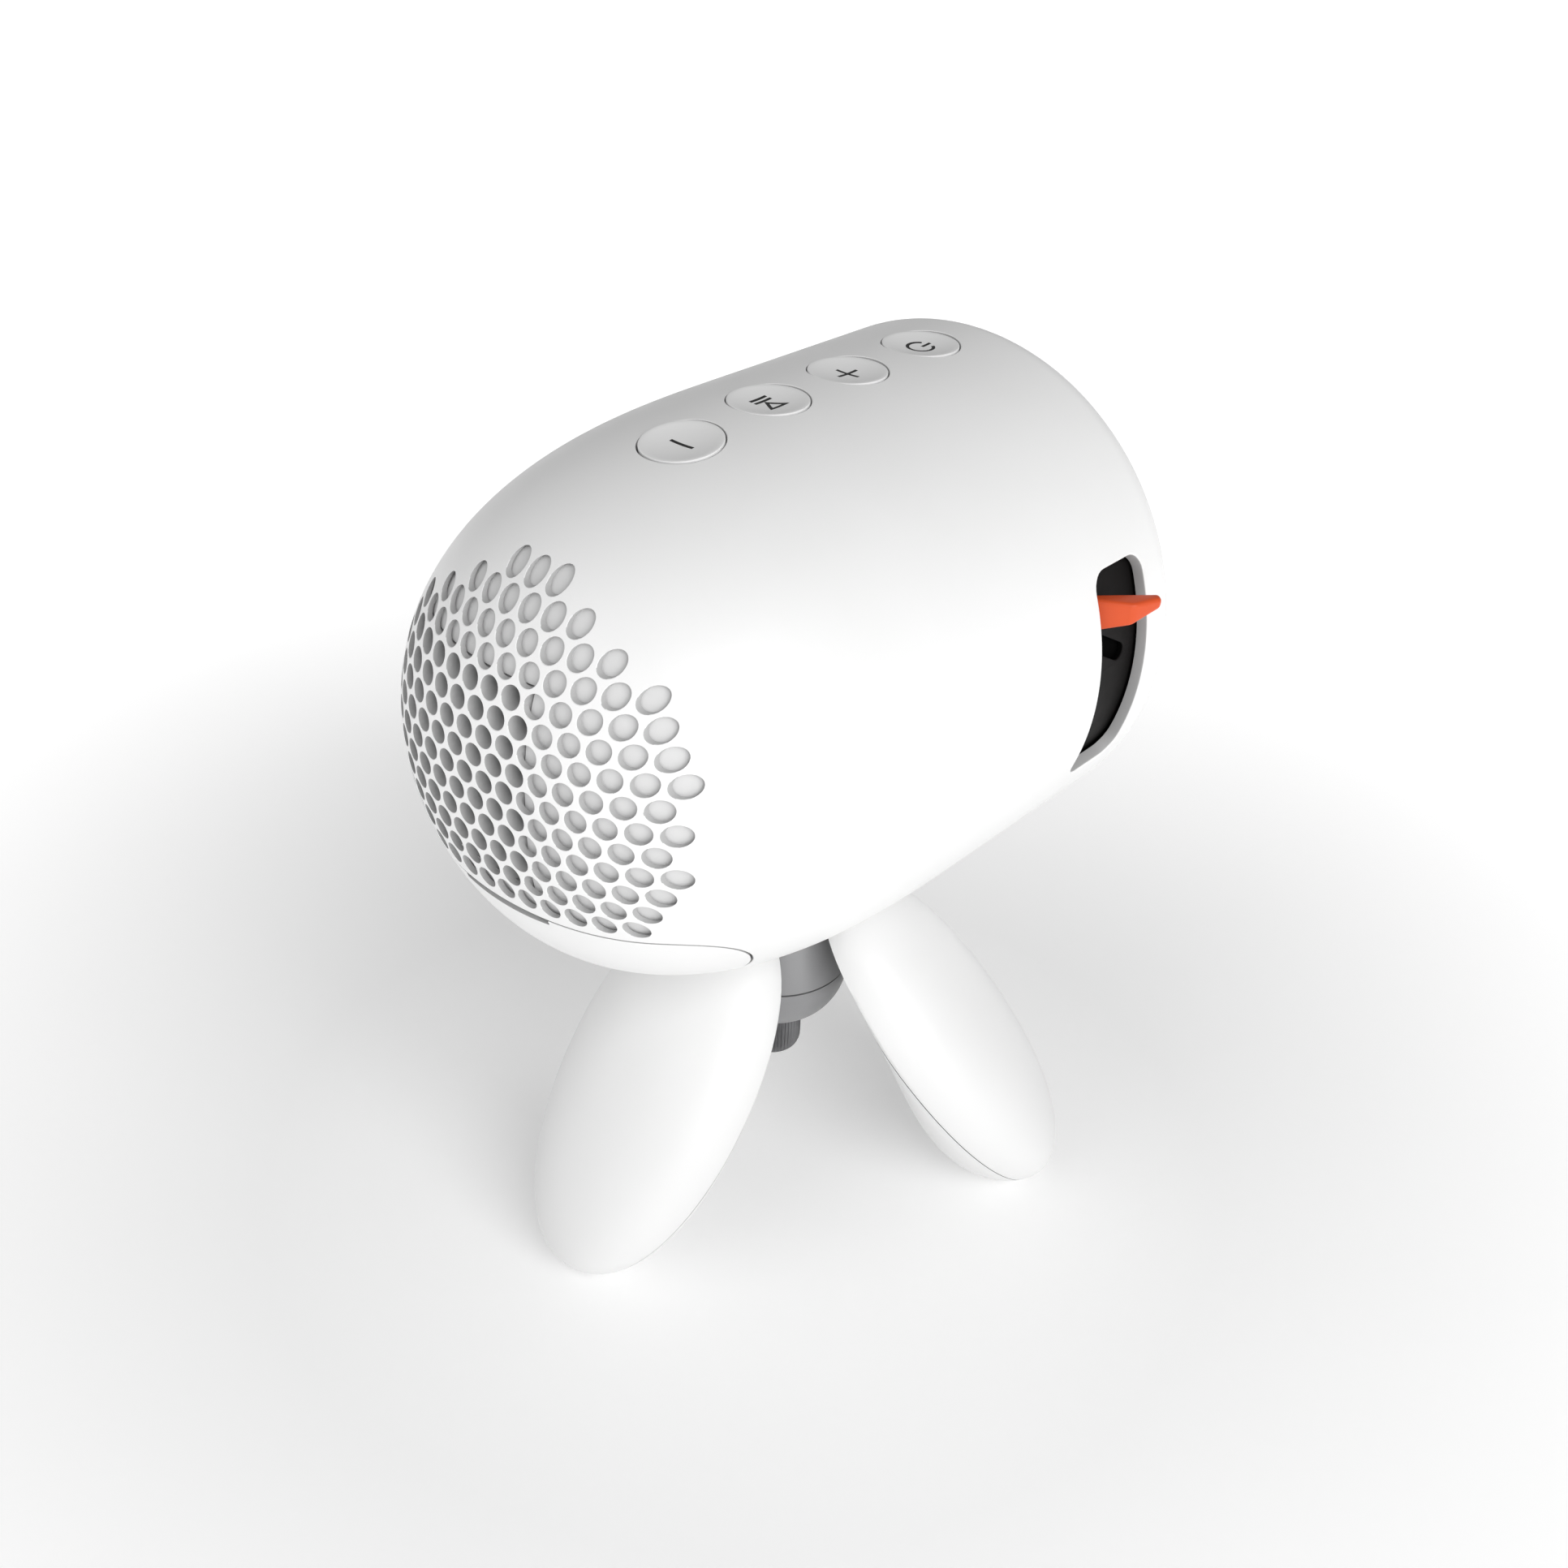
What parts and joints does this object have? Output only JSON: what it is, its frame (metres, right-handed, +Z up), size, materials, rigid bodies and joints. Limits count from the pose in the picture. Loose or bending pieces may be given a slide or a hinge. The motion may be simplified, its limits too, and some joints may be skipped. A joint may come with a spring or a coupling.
{
  "type": "home projector",
  "caption": "Bullet-shaped pico projector with rear vents, top buttons, side focus lever and rear hatch, standing on a folding petal tripod.",
  "frame": {"origin": "middle of the footprint of the whole object, on the table under it", "axes": "+Z up; the lens looks along -Y, so the domed vent end is at +Y; the focus lever is on the -X side"},
  "size_m": [0.0886, 0.1028, 0.1332],
  "materials": {
    "white_plastic": "satin white moulded plastic",
    "grey_plastic": "satin mid grey moulded plastic",
    "dark_plastic": "matt black moulded plastic",
    "gloss_black": "polished black plastic",
    "lens_glass": "coated optical glass",
    "orange_plastic": "satin orange moulded plastic",
    "circuit_board": "green solder mask on glass fibre",
    "chip_black": "moulded chip package",
    "aluminium": "plain machined",
    "steel": "brushed, nickel plated",
    "brass": "turned",
    "battery_wrap": "shrink wrap film"
  },
  "bodies": {
    "tripod": {"neck": "grey_plastic", "neck_bowl": "grey_plastic", "leg_hub": "grey_plastic", "leg_pin_rear": "steel", "leg_pin_left": "steel", "leg_pin_right": "steel"},
    "thumb_screw": {"tripod_screw": "steel"},
    "rear_leg": {"leg_rear": "white_plastic"},
    "left_leg": {"leg_left": "white_plastic"},
    "right_leg": {"leg_right": "white_plastic"},
    "focus": {"focus_ring": "dark_plastic", "focus_lever": "orange_plastic"},
    "lens": {"lens_barrel": "dark_plastic", "front_lens": "lens_glass", "rear_lens": "lens_glass"},
    "fan": {"fan_rotor": "grey_plastic"},
    "hatch": {"rear_hatch": "white_plastic"},
    "button_minus_body": {"button_minus": "white_plastic"},
    "button_play_body": {"button_play": "white_plastic"},
    "button_plus_body": {"button_plus": "white_plastic"},
    "button_power_body": {"button_power": "white_plastic"},
    "projector": {"body_shell": "white_plastic", "vent_liner": "white_plastic", "front_cap": "white_plastic", "lens_guide": "dark_plastic", "light_engine": "dark_plastic", "fan_frame": "dark_plastic", "speaker": "dark_plastic", "chassis": "dark_plastic", "power_inlet": "dark_plastic", "front_panel": "gloss_black", "lens_window": "lens_glass", "imager_board": "circuit_board", "red_light_board": "circuit_board", "blue_light_board": "circuit_board", "main_board": "circuit_board", "button_board": "circuit_board", "imager_chip": "chip_black", "main_chip": "chip_black", "heat_sink": "aluminium", "hatch_pin": "steel", "hdmi_socket": "steel", "usb_socket": "steel", "switch_minus": "steel", "switch_play": "steel", "switch_plus": "steel", "switch_power": "steel", "tripod_bush": "brass", "standoff_1": "brass", "standoff_2": "brass", "standoff_3": "brass", "standoff_4": "brass", "battery_pack": "battery_wrap"}
  },
  "joints": [
    {"name": "head_swivel", "type": "hinge", "parent": "tripod", "child": "projector", "pos_m": [0, -0.00706, 0.05314], "axis": [0, 0, 1], "continuous": true},
    {"name": "screw_turn", "type": "hinge", "parent": "tripod", "child": "thumb_screw", "pos_m": [0, -0.00706, 0.02724], "axis": [0, 0, 1], "continuous": true},
    {"name": "rear_leg_fold", "type": "hinge", "parent": "tripod", "child": "rear_leg", "pos_m": [0, 0.00494, 0.04954], "axis": [1, 0, 0], "range_deg": [-12, 20]},
    {"name": "left_leg_fold", "type": "hinge", "parent": "tripod", "child": "left_leg", "pos_m": [-0.01039, -0.01306, 0.04954], "axis": [-0.5, 0.866, 0], "range_deg": [-12, 20]},
    {"name": "right_leg_fold", "type": "hinge", "parent": "tripod", "child": "right_leg", "pos_m": [0.01039, -0.01306, 0.04954], "axis": [-0.5, -0.866, 0], "range_deg": [-12, 20]},
    {"name": "focus_turn", "type": "hinge", "parent": "projector", "child": "focus", "pos_m": [0, -0.00886, 0.09324], "axis": [0, 1, 0], "range_deg": [-33, 4.5]},
    {"name": "lens_slide", "type": "slide", "parent": "projector", "child": "lens", "axis": [0, -1, 0], "range_m": [-0.0026, 0.0005]},
    {"name": "fan_spin", "type": "hinge", "parent": "projector", "child": "fan", "pos_m": [0.0135, 0.03064, 0.09474], "axis": [0, 1, 0], "continuous": true},
    {"name": "hatch_swing", "type": "hinge", "parent": "projector", "child": "hatch", "pos_m": [0, 0.02634, 0.05684], "axis": [-1, 0, 0], "range_deg": [0, 70]},
    {"name": "press_minus", "type": "slide", "parent": "projector", "child": "button_minus_body", "axis": [0, 0, -1], "range_m": [0, 0.0006], "stiffness_N_per_m": 1500, "springref_m": -0.0003},
    {"name": "press_play", "type": "slide", "parent": "projector", "child": "button_play_body", "axis": [0, 0, -1], "range_m": [0, 0.0006], "stiffness_N_per_m": 1500, "springref_m": -0.0003},
    {"name": "press_plus", "type": "slide", "parent": "projector", "child": "button_plus_body", "axis": [0, 0, -1], "range_m": [0, 0.0006], "stiffness_N_per_m": 1500, "springref_m": -0.0003},
    {"name": "press_power", "type": "slide", "parent": "projector", "child": "button_power_body", "axis": [0, 0, -1], "range_m": [0, 0.0006], "stiffness_N_per_m": 1500, "springref_m": -0.0003}
  ],
  "couplings": [
    {"joint": "lens_slide", "follows": "focus_turn", "m_per_rad": 0.0041}
  ]
}
